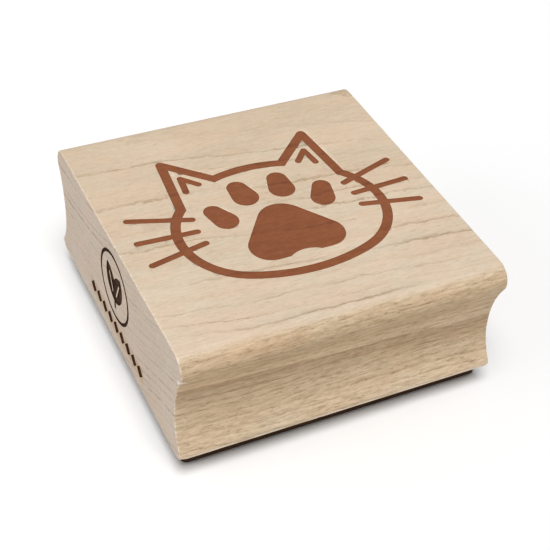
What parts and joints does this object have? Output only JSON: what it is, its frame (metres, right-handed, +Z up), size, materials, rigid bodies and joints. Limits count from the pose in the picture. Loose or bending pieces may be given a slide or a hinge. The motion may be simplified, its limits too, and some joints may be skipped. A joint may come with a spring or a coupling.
{
  "type": "rubber stamp",
  "caption": "Square wood-mounted rubber stamp: a grooved hardwood block over a foam cushion and an engraved rubber die, with a burnt cat-head index picture on top.",
  "frame": {"origin": "centre of the printing face at the bottom of the die, which is also the bottom centre of the whole stamp", "axes": "+X along the grain to the right of the picture, +Y to the top of the picture and the back, +Z up through the block"},
  "size_m": [0.0636, 0.0664, 0.0291],
  "materials": {
    "maple": "sanded, unfinished",
    "toasted_maple": "lightly burnt",
    "charred_maple": "deeply burnt",
    "adhesive_film": "satin",
    "cushion_foam": "closed-cell foam",
    "die_rubber": "laser-engraved, matt"
  },
  "bodies": {
    "die": {"rubber_die": "die_rubber", "die_adhesive": "adhesive_film", "foam_cushion": "cushion_foam"},
    "block": {"wood_block": "maple", "mount_adhesive": "adhesive_film", "index_head": "toasted_maple", "index_ears": "toasted_maple", "index_whiskers": "toasted_maple", "index_paw": "toasted_maple", "end_mark_ring": "charred_maple", "end_mark_leaf": "charred_maple", "end_mark_band": "charred_maple"}
  },
  "joints": [
    {"name": "cushion_press", "type": "slide", "parent": "die", "child": "block", "axis": [0, 0, -1], "range_m": [0, 0.0006], "stiffness_N_per_m": 20000, "deforming": ["foam_cushion"]}
  ]
}
